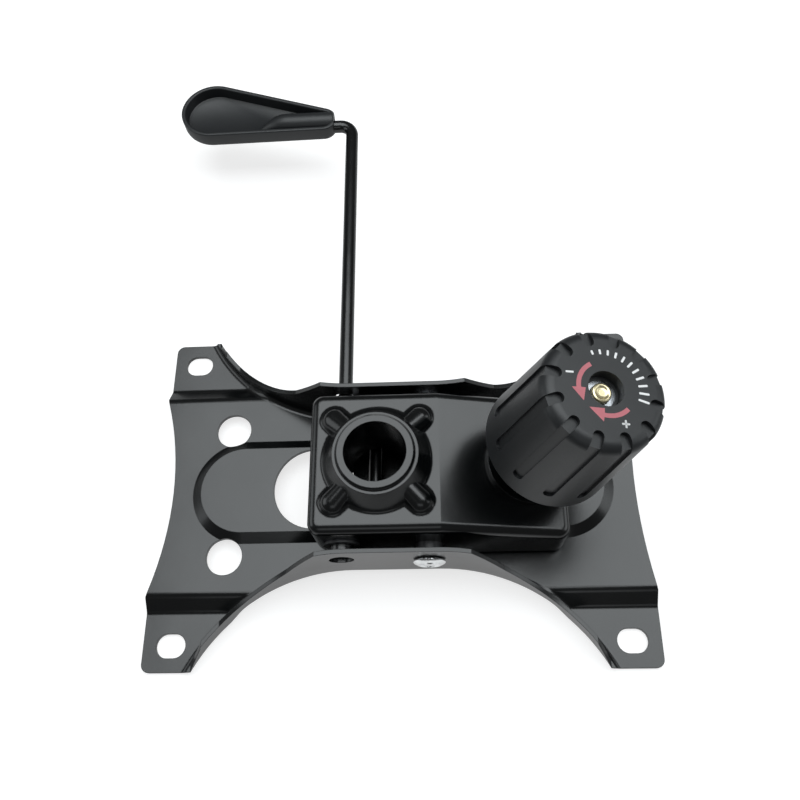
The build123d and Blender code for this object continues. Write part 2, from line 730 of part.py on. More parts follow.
# Lever handle: a moulded tray, open to +Z, with a boss that takes the rod
with BuildPart() as lever_handle:
    with BuildSketch(Plane.XY.offset(grip_low)) as grip_outline:
        with Locations((grip_bulb_x, grip_bulb_y)):
            Circle(grip_bulb_r)
        with Locations((grip_neck_x, grip_neck_y)):
            Circle(grip_neck_r)
        with Locations((grip_end_x - grip_end_t / 2, grip_neck_y - 1)):
            Rectangle(grip_end_t, grip_end_w)
        make_hull()
    extrude(amount=grip_high - grip_low)
    fillet(lever_handle.edges().group_by(Axis.Z)[0], grip_edge_r)
    with BuildSketch(Plane.XY.offset(grip_low + grip_floor)):
        with Locations((grip_bulb_x, grip_bulb_y)):
            Circle(grip_bulb_r - grip_wall)
        with Locations((grip_neck_x, grip_neck_y)):
            Circle(grip_neck_r - grip_wall)
        make_hull()
    extrude(amount=grip_high, mode=Mode.SUBTRACT)
    fillet(lever_handle.edges().group_by(Axis.Z)[-1], grip_rim_r)
    with BuildSketch(Plane.XY.offset(grip_low + grip_well_floor)):
        with Locations((grip_bulb_x, grip_bulb_y)):
            Circle(grip_bulb_r - grip_wall - 1)
        with Locations((grip_neck_x, grip_neck_y)):
            Circle(grip_neck_r - grip_wall - 1)
        make_hull()
        with Locations((2 * grip_well_x, grip_bulb_y)):
            Rectangle(-2 * grip_well_x, 4 * grip_bulb_r, mode=Mode.SUBTRACT)
    extrude(amount=grip_high, mode=Mode.SUBTRACT)
    # the boss for the rod, with its pointed end
    boss_root_x = grip_end_x - 1
    with BuildSketch(Plane.XY.offset(rod_z)):
        with BuildLine():
            Polyline(
                (grip_tip_x, rod_corner_y),
                (boss_root_x, rod_corner_y),
                (boss_root_x, rod_corner_y + grip_boss_r),
                (grip_boss_x, rod_corner_y + grip_boss_r),
            )
            ThreePointArc(
                (grip_boss_x, rod_corner_y + grip_boss_r),
                (grip_nose[0], rod_corner_y + grip_nose[1]),
                (grip_tip_x, rod_corner_y),
            )
        make_face()
    revolve(axis=Axis((0, rod_corner_y, rod_z), (1, 0, 0)))
    with BuildSketch(Plane.YZ.offset(rod_grip_x - seat)):
        with Locations((rod_corner_y, rod_z)):
            Circle(rod_r + slip)
    extrude(amount=grip_end_x - rod_grip_x + spare, mode=Mode.SUBTRACT)
lever_handle.part.label = "lever_handle"
export_step(lever_handle.part, "parts/lever_handle.step")
print("lever_handle", lever_handle.part.volume, lever_handle.part.is_valid, len(lever_handle.part.solids()))

# Tension bolt with its ball head under the plateau
with BuildPart() as tension_bolt:
    with BuildSketch(bolt_section):
        with BuildLine():
            neck_s = sqrt(ball_r**2 - bolt_r**2)
            Line((0, 0), (ball_r, 0))
            RadiusArc((ball_r, 0), (bolt_r, neck_s), -ball_r)
            Polyline(
                (bolt_r, neck_s),
                (bolt_r, bolt_end_s - bolt_chamfer),
                (bolt_r - bolt_chamfer, bolt_end_s),
                (dish_r, bolt_end_s),
                (0, bolt_end_s - dish_depth),
                (0, 0),
            )
        make_face()
    revolve(axis=bolt_axis)
tension_bolt.part.label = "tension_bolt"
export_step(tension_bolt.part, "parts/tension_bolt.step")
print("tension_bolt", tension_bolt.part.volume, tension_bolt.part.is_valid)

# Dished seat under the spring, on the sloping deck
with BuildPart() as spring_seat:
    with BuildSketch(bolt_frame.offset(deck_s + slip)):
        Circle(spring_seat_r)
    extrude(amount=spring_seat_t)
    with BuildSketch(bolt_frame.offset(deck_s + slip)):
        Circle(collar_r)
    extrude(amount=spring_seat_t + spring_collar)
    with BuildSketch(bolt_frame.offset(deck_s)):
        Circle(spring_hole_r)
    extrude(amount=spare, mode=Mode.SUBTRACT)
spring_seat.part.label = "spring_seat"
export_step(spring_seat.part, "parts/spring_seat.step")
print("spring_seat", spring_seat.part.volume, spring_seat.part.is_valid)

# Cap on the spring's upper end, with a pilot ring inside the coil
with BuildPart() as spring_cap:
    with BuildSketch(bolt_frame.offset(cap_s)):
        Circle(cap_r)
    extrude(amount=cap_t)
    with BuildSketch(bolt_frame.offset(cap_s)):
        Circle(collar_r)
    extrude(amount=-spring_collar)
    with BuildSketch(bolt_frame.offset(cap_s)):
        Circle(collar_r - 2 * collar_wall)
    extrude(amount=-spring_collar, mode=Mode.SUBTRACT)
    with BuildSketch(bolt_frame.offset(cap_s)):
        Circle(bolt_r + 2 * run)
    extrude(amount=cap_t, mode=Mode.SUBTRACT)
spring_cap.part.label = "spring_cap"
export_step(spring_cap.part, "parts/spring_cap.step")
print("spring_cap", spring_cap.part.volume, spring_cap.part.is_valid)

with BuildPart() as thrust_washer:
    with BuildSketch(bolt_frame.offset(thrust_s)):
        Circle(knob_hub_r - 1)
        Circle(bolt_r + 2 * run, mode=Mode.SUBTRACT)
    extrude(amount=thrust_t)
thrust_washer.part.label = "thrust_washer"
export_step(thrust_washer.part, "parts/thrust_washer.step")
print("thrust_washer", thrust_washer.part.volume, thrust_washer.part.is_valid)

# Hexagon nut in the knob, chamfered at both ends
nut_low_s = hub_s + slip
nut_corner_r = nut_across / 2 / cos(radians(30))
corner_fall = (nut_corner_r - nut_face_r) * tan(radians(30))
with BuildPart() as tension_nut:
    with BuildSketch(bolt_frame.offset(nut_low_s)):
        RegularPolygon(nut_across / 2, 6, major_radius=False)
    extrude(amount=nut_len)
    with BuildSketch(bolt_section):
        with BuildLine():
            Polyline(
                (bolt_r + run, nut_low_s),
                (nut_face_r, nut_low_s),
                (nut_corner_r, nut_low_s + corner_fall),
                (nut_corner_r, nut_low_s + nut_len - corner_fall),
                (nut_face_r, nut_low_s + nut_len),
                (bolt_r + run, nut_low_s + nut_len),
                close=True,
            )
        make_face()
    revolve(axis=bolt_axis, mode=Mode.INTERSECT)
tension_nut.part.label = "tension_nut"
export_step(tension_nut.part, "parts/tension_nut.step")
print("tension_nut", tension_nut.part.volume, tension_nut.part.is_valid)

# One flute of the knob with the notch in its shoulder, round the Z axis
side_lean = atan2(knob_base_r - knob_top_r, knob_len)
side_up = (-sin(side_lean), 0, cos(side_lean))
side_out = (cos(side_lean), 0, sin(side_lean))
with BuildPart() as knob_flute:
    with BuildSketch(Plane(origin=(knob_base_r, 0, 0), x_dir=side_up, z_dir=side_out).offset(1)):
        with Locations(((flute_base + knob_len) / 2 + flute_w, 0)):
            SlotOverall(knob_len - flute_base + 2 * flute_w, flute_w)
    extrude(amount=-1 - flute_depth)
    with BuildSketch(Plane.XY.offset(knob_len - notch_depth)):
        with Locations(((notch_r + knob_base_r) / 2, 0)):
            SlotOverall(knob_base_r - notch_r, flute_w)
    extrude(amount=notch_depth + 1)
    notch_floor = knob_flute.faces().filter_by(Axis.Z).sort_by(Axis.Z)[0]
    fillet(notch_floor.edges().sort_by(Axis.X)[0], notch_edge_r)

# Tension knob: a hollow fluted cup round the spring
with BuildPart(bolt_frame.offset(knob_base_s)) as tension_knob:
    with BuildSketch(knob_section):
        with BuildLine():
            inner_top_r = knob_top_r - knob_wall
            Polyline(
                (knob_base_r - knob_wall, 0),
                (knob_base_r, 0),
                (knob_top_r, knob_len),
                (recess_r, knob_len),
                (recess_r, knob_len - recess_depth),
                (nut_view_r, knob_len - recess_depth),
                (nut_view_r, knob_len - knob_hub_len),
                (knob_hub_r, knob_len - knob_hub_len),
                (knob_hub_r, knob_len - knob_top_t),
                (inner_top_r, knob_len - knob_top_t),
                close=True,
            )
        make_face()
        fillet(vertices().sort_by_distance((knob_top_r, knob_len, 0))[0], knob_shoulder_r)
        fillet(vertices().sort_by_distance((knob_base_r, 0, 0))[0], knob_rim_r)
        fillet(vertices().sort_by_distance((inner_top_r, knob_len - knob_top_t, 0))[0], knob_inner_r)
    revolve(axis=bolt_axis)
    with PolarLocations(0, flutes, start_angle=180 / flutes):
        add(knob_flute.part, mode=Mode.SUBTRACT)
    with BuildSketch(bolt_frame.offset(hub_s)):
        RegularPolygon(nut_across / 2 + slip, 6, major_radius=False)
    extrude(amount=nut_len + 2 * slip, mode=Mode.SUBTRACT)
tension_knob.part.label = "tension_knob"
export_step(tension_knob.part, "parts/tension_knob.step")
print("tension_knob", tension_knob.part.volume, tension_knob.part.is_valid, len(tension_knob.part.solids()))


def coil_point(turn):
    """Centre line of the spring after so many turns, and its direction there."""
    flat = spring_wire + spring_end_gap
    rise = spring_high_s - spring_low_s - spring_wire
    pitch = (rise - 2 * flat) / (spring_turns - 2)
    height = flat * min(turn, 1) + pitch * min(max(turn - 1, 0), spring_turns - 2)
    height += flat * max(turn - spring_turns + 1, 0)
    slope = flat if turn < 1 or turn > spring_turns - 1 else pitch
    if turn in (1, spring_turns - 1):
        slope = (flat + pitch) / 2
    level = spring_low_s + spring_wire / 2 + height
    angle = 2 * pi * turn
    point = bolt_frame.from_local_coords((spring_r * cos(angle), spring_r * sin(angle), level))
    ahead = Vector(-spring_r * sin(angle), spring_r * cos(angle), slope / (2 * pi))
    aim = bolt_frame.from_local_coords(ahead) - bolt_frame.from_local_coords(Vector(0, 0, 0))
    return point, aim.normalized()


def biarc_joint(start, aim, end, end_aim):
    """Where two arcs meet that run from start to end with these directions."""
    chord = end - start
    both = chord.dot(aim + end_aim)
    bend = 2 * (1 - aim.dot(end_aim))
    reach = (sqrt(both**2 + bend * chord.dot(chord)) - both) / bend
    return (start + end + (aim - end_aim) * reach) * 0.5


# Tension spring: one unbroken coil, its ends wound close
steps = round(spring_turns * 4)
coil = [coil_point(k / 4) for k in range(steps + 1)]
with BuildPart() as tension_spring:
    with BuildLine() as coil_line:
        for (start, aim), (end, end_aim) in zip(coil, coil[1:]):
            joint = biarc_joint(start, aim, end, end_aim)
            first = TangentArc(start, joint, tangent=aim)
            TangentArc(joint, end, tangent=first % 1)
    with BuildSketch(Plane(origin=coil[0][0], z_dir=coil[0][1])):
        Circle(spring_wire / 2)
    sweep()
tension_spring.part.label = "tension_spring"
export_step(tension_spring.part, "parts/tension_spring.step")
samples = [(coil_line.line @ (k / 900), k * spring_turns / 900) for k in range(901)]
apart = min(
    (here - there).length
    for place, (here, turn) in enumerate(samples)
    for there, other in samples[place + 30 :]
    if other - turn > 0.5
)
print("tension_spring", tension_spring.part.volume, tension_spring.part.is_valid)
print("spring gap to itself", apart - spring_wire)
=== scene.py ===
from math import cos, pi, radians, sin

import bmesh
import bpy
from mathutils import Matrix, Vector


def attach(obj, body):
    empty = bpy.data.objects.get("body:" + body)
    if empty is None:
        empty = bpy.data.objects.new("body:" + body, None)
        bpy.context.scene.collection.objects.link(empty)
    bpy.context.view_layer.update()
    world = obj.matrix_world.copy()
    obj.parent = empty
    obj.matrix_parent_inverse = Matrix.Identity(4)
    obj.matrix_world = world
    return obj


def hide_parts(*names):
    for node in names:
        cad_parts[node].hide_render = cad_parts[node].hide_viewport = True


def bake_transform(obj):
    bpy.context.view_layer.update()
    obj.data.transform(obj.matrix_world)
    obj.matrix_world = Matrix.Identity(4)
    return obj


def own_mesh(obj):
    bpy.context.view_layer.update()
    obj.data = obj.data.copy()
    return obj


bl_info = {
    "name": "Seat swivel plate",
    "version": (1, 0, 0),
    "blender": (4, 5, 0),
    "location": "3D Viewport > Sidebar > Swivel Plate",
    "description": "Dresses a chair tilt mechanism: coats, fittings, knob, handle and studio",
    "category": "Object",
}

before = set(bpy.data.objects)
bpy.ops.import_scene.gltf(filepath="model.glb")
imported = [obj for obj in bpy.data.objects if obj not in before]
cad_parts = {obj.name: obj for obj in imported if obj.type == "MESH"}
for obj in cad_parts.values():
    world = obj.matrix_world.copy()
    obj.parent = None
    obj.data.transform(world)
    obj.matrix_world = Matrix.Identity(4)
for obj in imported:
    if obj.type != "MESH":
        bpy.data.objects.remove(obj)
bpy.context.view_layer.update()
MM = 0.001
# vertices this close are one, and a vertex this close to a cut lies on it
SAME = 0.002 * MM
ON_CUT = 1e-7

# soft panels: name, place, aim, width and height in metres, watts. The flats mirror the wide one
# over the part to the camera, and the others lift the sides.
PANELS = (
    ("overhead_panel", (0.2, 0.38, 1.25), (0.2, 0.38, 0), (1.7, 1.0), 19),
    ("front_panel", (0, -1.15, 1.05), (0, 0, 0), (1.0, 0.5), 1.2),
    ("left_panel", (-1.2, 0.1, 0.55), (0, 0.05, 0.05), (0.9, 0.7), 3),
    ("right_panel", (1.25, 0.1, 0.5), (0, 0.05, 0.05), (0.9, 0.6), 3),
)
PANEL_TINT = (0.93, 0.98, 1.0)

# the CAD pieces with a film of coat and with bright zinc
COATED = (
    "seat_plate",
    "tilt_housing",
    "taper_socket",
    "socket_brace",
    "lever_rod",
    "lock_pin",
    "spring_seat",
)
PLATED = ("pivot_axle", "pivot_washers", "lever_bush", "spring_cap", "tension_nut")

# the spun rivet head: radius and height over the flange in mm, from the rim to the middle
SPUN_HEAD = (
    (6.9, 0.05),
    (7.5, 0.6),
    (7.5, 1.1),
    (7.2, 1.5),
    (5.6, 2.3),
    (5.2, 2.4),
    (4.9, 2.2),
    (4.3, 1.7),
    (3.0, 1.7),
    (2.6, 2.1),
    (2.2, 2.4),
    (0.6, 2.3),
)

# the handle's boss over the rod: height, side, distance from the bulb and radius in mm
ROD_BOSS = (
    (6.7, -9.4, 71.4, 5.3),
    (6.7, -9.4, 71.0, 5.8),
    (6.7, -9.4, 44.0, 5.8),
    (6.5, -9.4, 40.0, 5.6),
    (5.7, -9.6, 36.0, 4.9),
    (4.6, -10.0, 32.0, 3.7),
    (3.6, -10.4, 28.5, 2.2),
    (3.0, -10.6, 27.0, 0.9),
)

# the tray's insets in mm: the draft of its wall, the fillet of its floor, the draft of the well
TRAY_DRAFT = 0.4
TRAY_FILLET, TRAY_FILLET_DEEP = 0.5, 0.3
WELL_DRAFT = 0.1
# the leans of the rounding under the tray, in degrees
FOOT_LEANS = (10, 30, 50, 70)

# the crest of the thread, as shares of its pitch
CREST = (0.42, 0.58)
# insets and depths in mm that make the dish in the bolt's end
DISH = ((0.55, 0), (0.35, -0.5), (0.25, -0.1), (0.9, -0.12))

# printed arrows: name and the angles in degrees where the line begins and ends, and of the tip
ARROWS = (("arrow_looser", 119, 181, 210), ("arrow_tighter", -45, -100, -133))


def length(name, description, millimetres):
    """A length property whose default is given in millimetres."""
    return bpy.props.FloatProperty(
        name=name, description=description, default=millimetres * MM, unit="LENGTH", precision=5
    )


def position(name, description, millimetres):
    """A place or a step in space whose default is given in millimetres."""
    return bpy.props.FloatVectorProperty(
        name=name,
        description=description,
        size=3,
        default=[value * MM for value in millimetres],
        subtype="TRANSLATION",
        unit="LENGTH",
        precision=5,
    )


def turn_by(name, description, degrees):
    """An angle property whose default is given in degrees."""
    return bpy.props.FloatProperty(
        name=name, description=description, default=radians(degrees), subtype="ANGLE"
    )


def hex_colour(name, description, text):
    """A colour property that holds an sRGB hex value."""
    return bpy.props.StringProperty(name=name, description=description, default=text)


class SwivelColours(bpy.types.PropertyGroup):
    """Colours of the finishes, as sRGB hex values"""

    coat: hex_colour("E-coat", "Black electro-coat on the pressings", "#060809")
    dust: hex_colour("Dust", "Specks of dust on the coat", "#6a6c6e")
    knob: hex_colour("Knob", "Satin black nylon of knob and handle", "#191b1d")
    rubber: hex_colour("Rubber", "Stop buffer", "#1b1b1c")
    wire: hex_colour("Wire", "Phosphated wire of the tension spring", "#2c2e30")
    zinc: hex_colour("Zinc", "Bright zinc plate", "#c9ccd0")
    zinc_cloud: hex_colour("Zinc clouds", "Duller clouds on bright zinc", "#b4b8bd")
    spun: hex_colour("Spun zinc", "Zinc polished by the riveting tool", "#ffffff")
    spun_cloud: hex_colour("Spun clouds", "Duller clouds on spun zinc", "#d4d6d8")
    arrow: hex_colour("Arrow", "Print of the arrows", "#bd6b73")
    mark: hex_colour("Mark", "White print", "#e9e9e9")
    bush: hex_colour("Bush", "Grey nylon of the thrust washer", "#8a8d90")
    black_bush: hex_colour("Black bush", "Smooth black nylon bushes", "#2a2b2d")
    paper: hex_colour("Backdrop", "Studio paper", "#f4f4f4")


class SwivelSizes(bpy.types.PropertyGroup):
    """Sizes that more than one of the pieces modelled here shares"""

    lean: turn_by("Lean", "Lean of the tension bolt", 15)
    knob_top: position("Knob top", "Middle of the knob's top face", (84.628, 0, 124.253))
    pitch: length("Pitch", "Of the bolt's thread", 1.25)
    thread_r: length("Thread", "Radius over the thread", 3.95)
    thread_depth: length("Thread depth", "From its crest to its root", 0.7)
    thread_turns: bpy.props.IntProperty(name="Turns", description="Of the thread", default=26)
    arrow_r: length("Arrow radius", "Of the arrows' line round the recess", 10.9)
    arrow_w: length("Arrow line", "Width of the arrows' line", 1.8)
    arrow_head: length("Arrow head", "Width of the arrows' heads", 5.4)
    print_t: length("Print", "Thickness of the prints", 0.05)


class SwivelCamera(bpy.types.PropertyGroup):
    """Where the photograph was taken from"""

    place: position("Place", "Of the lens", (24.4, -122.8, 399.3))
    tilt: turn_by("Tilt", "Lean back from straight down", 23.61)
    yaw: turn_by("Yaw", "Turn about the row axis", 3.32)
    roll: turn_by("Roll", "Turn of the picture", -0.26)
    focal: bpy.props.FloatProperty(
        name="Focal length", description="On a 36 mm frame", default=36.37, unit="CAMERA"
    )


def linear(text, share=1.0):
    """Turns an sRGB hex colour into Blender's linear RGBA, at a share of its brightness."""
    values = [int(text[i : i + 2], 16) / 255 for i in (1, 3, 5)]
    values = [v / 12.92 if v <= 0.04045 else ((v + 0.055) / 1.055) ** 2.4 for v in values]
    return [v * share for v in values] + [1.0]


def per_metre(size_mm):
    """The texture scale that repeats once in so many millimetres."""
    return 1000 / size_mm


def add_node(tree, kind, settings=(), links=()):
    """Adds a shader node, sets its sockets or properties and links other sockets into it."""
    node = tree.nodes.new(kind)
    for key, value in dict(settings).items():
        if isinstance(key, str) and hasattr(node, key):
            setattr(node, key, value)
        else:
            node.inputs[key].default_value = value
    for key, source in dict(links).items():
        tree.links.new(source, node.inputs[key])
    return node


def new_material(name):
    """An empty node material with its output and its Object coordinates."""
    material = bpy.data.materials.new(name)
    material.use_nodes = True
    tree = material.node_tree
    tree.nodes.clear()
    out = add_node(tree, "ShaderNodeOutputMaterial")
    coords = add_node(tree, "ShaderNodeTexCoord").outputs["Object"]
    return material, tree, out, coords


def e_coat():
    """Cathodic electro-coat on pressed steel: a glossy black film over the pressing's waves."""
    material, tree, out, coords = new_material("black_e_coat")
    colours = bpy.context.scene.swivel_colours
    # orange peel, the sheet's waves and clouds in the film have their real sizes, the specks of
    # dust are drawn coarser than real ones so that they show
    at = {"Vector": coords}
    peel = add_node(tree, "ShaderNodeTexNoise", {"Scale": per_metre(2.2), "Detail": 3.0}, at)
    wave = add_node(tree, "ShaderNodeTexNoise", {"Scale": per_metre(26), "Detail": 1.0}, at)
    cloud = add_node(tree, "ShaderNodeTexNoise", {"Scale": per_metre(38), "Detail": 4.0}, at)
    dust = add_node(tree, "ShaderNodeTexNoise", {"Scale": per_metre(0.7), "Detail": 1.0}, at)
    specks = add_node(
        tree,
        "ShaderNodeMapRange",
        {"From Min": 0.74, "From Max": 0.8, "To Max": 0.12},
        {"Value": dust.outputs["Fac"]},
    )
    tint = add_node(
        tree,
        "ShaderNodeMix",
        {"data_type": "RGBA", 6: linear(colours.coat, 0.7), 7: linear(colours.coat)},
        {0: cloud.outputs["Fac"]},
    )
    dusty = add_node(
        tree,
        "ShaderNodeMix",
        {"data_type": "RGBA", 7: linear(colours.dust)},
        {0: specks.outputs[0], 6: tint.outputs[2]},
    )
    rough = add_node(
        tree,
        "ShaderNodeMapRange",
        {"To Min": 0.17, "To Max": 0.27},
        {"Value": cloud.outputs["Fac"]},
    )
    # the film rounds the cut edges of the sheet
    edges = add_node(tree, "ShaderNodeBevel", {"samples": 4, "Radius": 0.45 * MM})
    sunk = add_node(
        tree,
        "ShaderNodeBump",
        {"Strength": 0.5, "Distance": 0.4 * MM},
        {"Height": wave.outputs["Fac"], "Normal": edges.outputs[0]},
    )
    bump = add_node(
        tree,
        "ShaderNodeBump",
        {"Strength": 0.05, "Distance": 0.2 * MM},
        {"Height": peel.outputs["Fac"], "Normal": sunk.outputs[0]},
    )
    shader = add_node(
        tree,
        "ShaderNodeBsdfPrincipled",
        {"IOR": 1.54},
        {
            "Base Color": dusty.outputs[2],
            "Roughness": rough.outputs[0],
            "Normal": bump.outputs[0],
        },
    )
    tree.links.new(shader.outputs[0], out.inputs[0])
    return material


def satin_grain(name, colour, grain_mm=0.9, rough=(0.38, 0.5), depth=0.05):
    """A satin surface that scatters the light with its fine grain: spark-eroded on moulded nylon
    and rubber, phosphate crystals on wire."""
    material, tree, out, coords = new_material(name)
    # the grain is drawn several times coarser than the real one so that it shows
    at = {"Vector": coords}
    grain = add_node(tree, "ShaderNodeTexVoronoi", {"Scale": per_metre(grain_mm)}, at)
    cloud = add_node(tree, "ShaderNodeTexNoise", {"Scale": per_metre(24), "Detail": 3.0}, at)
    tint = add_node(
        tree,
        "ShaderNodeMix",
        {"data_type": "RGBA", 6: linear(colour, 0.88), 7: linear(colour)},
        {0: cloud.outputs["Fac"]},
    )
    gloss = add_node(
        tree,
        "ShaderNodeMapRange",
        {"To Min": rough[0], "To Max": rough[1]},
        {"Value": cloud.outputs["Fac"]},
    )
    bump = add_node(
        tree,
        "ShaderNodeBump",
        {"Strength": depth, "Distance": 0.2 * MM},
        {"Height": grain.outputs["Distance"]},
    )
    shader = add_node(
        tree,
        "ShaderNodeBsdfPrincipled",
        {"IOR": 1.53},
        {
            "Base Color": tint.outputs[2],
            "Roughness": gloss.outputs[0],
            "Normal": bump.outputs[0],
        },
    )
    tree.links.new(shader.outputs[0], out.inputs[0])
    return material


def spring_wire():
    """Phosphated and oiled spring wire: dark, half matt, with lines too fine to show."""
    known = bpy.data.materials.get("phosphated_wire")
    wire = bpy.context.scene.swivel_colours.wire
    return known or satin_grain("phosphated_wire", wire, 1.2, (0.3, 0.42), 0.03)


def zinc_plate(name, colour, drift, rough=(0.2, 0.36), dent_mm=0.0):
    """Electroplated zinc on turned or forged steel: bright, faintly clouded, finely scratched,
    and dented by the riveting tool where a size of dent is given."""
    material, tree, out, coords = new_material(name)
    # the scratches are drawn half a millimetre apart, coarser than real ones, so that they show
    at = {"Vector": coords}
    cloud = add_node(tree, "ShaderNodeTexNoise", {"Scale": per_metre(5), "Detail": 4.0}, at)
    fine = add_node(tree, "ShaderNodeTexNoise", {"Scale": per_metre(0.5), "Detail": 2.0}, at)
    tint = add_node(
        tree,
        "ShaderNodeMix",
        {"data_type": "RGBA", 6: linear(colour), 7: linear(drift)},
        {0: cloud.outputs["Fac"]},
    )
    gloss = add_node(
        tree,
        "ShaderNodeMapRange",
        {"To Min": rough[0], "To Max": rough[1]},
        {"Value": cloud.outputs["Fac"]},
    )
    bump = add_node(
        tree,
        "ShaderNodeBump",
        {"Strength": 0.08, "Distance": 0.1 * MM},
        {"Height": fine.outputs["Fac"]},
    )
    if dent_mm:
        scale = per_metre(dent_mm)
        dents = add_node(tree, "ShaderNodeTexNoise", {"Scale": scale, "Detail": 1.0}, at)
        bump = add_node(
            tree,
            "ShaderNodeBump",
            {"Strength": 0.4, "Distance": 0.3 * MM},
            {"Height": dents.outputs["Fac"], "Normal": bump.outputs[0]},
        )
    shader = add_node(
        tree,
        "ShaderNodeBsdfPrincipled",
        {"Metallic": 1.0},
        {
            "Base Color": tint.outputs[2],
            "Roughness": gloss.outputs[0],
            "Normal": bump.outputs[0],
        },
    )
    tree.links.new(shader.outputs[0], out.inputs[0])
    return material


def pad_print(name, colour):
    """Pad-printed ink on nylon: flat, slightly uneven where the ink wet the grain."""
    known = bpy.data.materials.get(name)
    if known:
        return known
    material, tree, out, coords = new_material(name)
    wet = add_node(
        tree,
        "ShaderNodeTexNoise",
        {"Scale": per_metre(1.2), "Detail": 2.0},
        {"Vector": coords},
    )
    tint = add_node(
        tree,
        "ShaderNodeMix",
        {"data_type": "RGBA", 6: linear(colour, 0.85), 7: linear(colour)},
        {0: wet.outputs["Fac"]},
    )
    shader = add_node(
        tree,
        "ShaderNodeBsdfPrincipled",
        {"Roughness": 0.55, "IOR": 1.5},
        {"Base Color": tint.outputs[2]},
    )
    tree.links.new(shader.outputs[0], out.inputs[0])
    return material


def studio_paper():
    """White paper that takes the part's shadow. It glows to the camera, and near the part also to
    the coat that mirrors it, but lights nothing."""
    material, tree, out, coords = new_material("studio_paper")
    colour = linear(bpy.context.scene.swivel_colours.paper)
    paper = add_node(tree, "ShaderNodeBsdfDiffuse", {"Color": colour})
    seen = add_node(tree, "ShaderNodeLightPath")
    away = add_node(tree, "ShaderNodeVectorMath", {"operation": "LENGTH"}, {0: coords})
    near = add_node(
        tree,
        "ShaderNodeMapRange",
        {"From Min": 0.13, "From Max": 0.34, "To Min": 0.62, "To Max": 0.0},
        {"Value": away.outputs["Value"]},
    )
    mirrored = add_node(
        tree,
        "ShaderNodeMath",
        {"operation": "MULTIPLY"},
        {0: seen.outputs["Is Glossy Ray"], 1: near.outputs[0]},
    )
    white = add_node(
        tree,
        "ShaderNodeMath",
        {"operation": "MAXIMUM"},
        {0: seen.outputs["Is Camera Ray"], 1: mirrored.outputs[0]},
    )
    # over 1, because near the part half of the mix is paper
    level = add_node(
        tree, "ShaderNodeMath", {"operation": "MULTIPLY", 1: 1.4}, {0: white.outputs[0]}
    )
    glow = add_node(
        tree, "ShaderNodeEmission", {"Color": (1, 1, 1, 1)}, {"Strength": level.outputs[0]}
    )
    far = add_node(
        tree,
        "ShaderNodeMapRange",
        {"From Min": 0.4, "From Max": 1.2, "To Min": 0.52, "To Max": 1.0},
        {"Value": away.outputs["Value"]},
    )
    both = add_node(
        tree,
        "ShaderNodeMixShader",
        links={0: far.outputs[0], 1: paper.outputs[0], 2: glow.outputs[0]},
    )
    tree.links.new(both.outputs[0], out.inputs[0])
    return material


def finish(node, material):
    """Gives a CAD node its finish."""
    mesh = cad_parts[node].data
    mesh.materials.clear()
    mesh.materials.append(material)


def pick(obj, kind, test):
    """In edit mode, selects the vertices, edges or faces whose middle passes the test."""
    bpy.ops.mesh.select_mode(type=kind)
    bpy.ops.mesh.select_all(action="DESELECT")
    shape = bmesh.from_edit_mesh(obj.data)
    for one in {"VERT": shape.verts, "EDGE": shape.edges, "FACE": shape.faces}[kind]:
        if kind == "VERT":
            middle = one.co
        else:
            middle = sum((v.co for v in one.verts), Vector()) / len(one.verts)
        one.select_set(test(middle))
    bmesh.update_edit_mesh(obj.data)


def only(obj):
    """Makes the object the only selected one, and the active one."""
    bpy.ops.object.select_all(action="DESELECT")
    obj.select_set(True)
    bpy.context.view_layer.objects.active = obj


def start(add, **settings):
    """Adds a primitive with nothing else selected and opens it for editing."""
    bpy.ops.object.select_all(action="DESELECT")
    add(**settings)
    bpy.ops.object.mode_set(mode="EDIT")
    return bpy.context.object


def cut_off(at, way):
    """In edit mode, cuts off all that lies beyond a plane and closes the cut."""
    bpy.ops.mesh.select_all(action="SELECT")
    bpy.ops.mesh.bisect(
        plane_co=at, plane_no=way, use_fill=True, clear_outer=True, threshold=ON_CUT
    )


def face_out():
    """In edit mode, turns all faces outwards."""
    bpy.ops.mesh.select_all(action="SELECT")
    bpy.ops.mesh.normals_make_consistent(inside=False)


def close_piece(obj, name, material, body, place=None, smooth=None):
    """Leaves edit mode, puts the place in the mesh, and gives name, finish and body."""
    if obj.mode == "EDIT":
        bpy.ops.object.mode_set(mode="OBJECT")
    only(obj)
    for modifier in list(obj.modifiers):
        bpy.ops.object.modifier_apply(modifier=modifier.name)
    bpy.ops.object.transform_apply(location=True, rotation=True, scale=True)
    if place is not None:
        obj.data.transform(place)
    obj.name = name
    obj.data.name = name
    obj.data.materials.clear()
    obj.data.materials.append(material)
    if smooth:
        bpy.ops.object.shade_smooth_by_angle(angle=smooth)
    if body:
        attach(obj, body)


def knob_place(drop=0.0):
    """The knob's frame, on its top face or so far under it: X across, Z up the bolt."""
    sizes = bpy.context.scene.swivel_sizes
    turn = Matrix.Rotation(sizes.lean, 4, "Y")
    return Matrix.Translation(Vector(sizes.knob_top)) @ turn @ Matrix.Translation((0, 0, -drop))


def copy_of_node(node):
    """A merged copy of a CAD node's mesh as a new object, selected and in edit mode."""
    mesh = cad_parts[node].data.copy()
    obj = bpy.data.objects.new(node + "_copy", mesh)
    bpy.context.scene.collection.objects.link(obj)
    only(obj)
    bpy.ops.object.mode_set(mode="EDIT")
    bpy.ops.mesh.select_all(action="SELECT")
    bpy.ops.mesh.remove_doubles(threshold=SAME)
    return obj


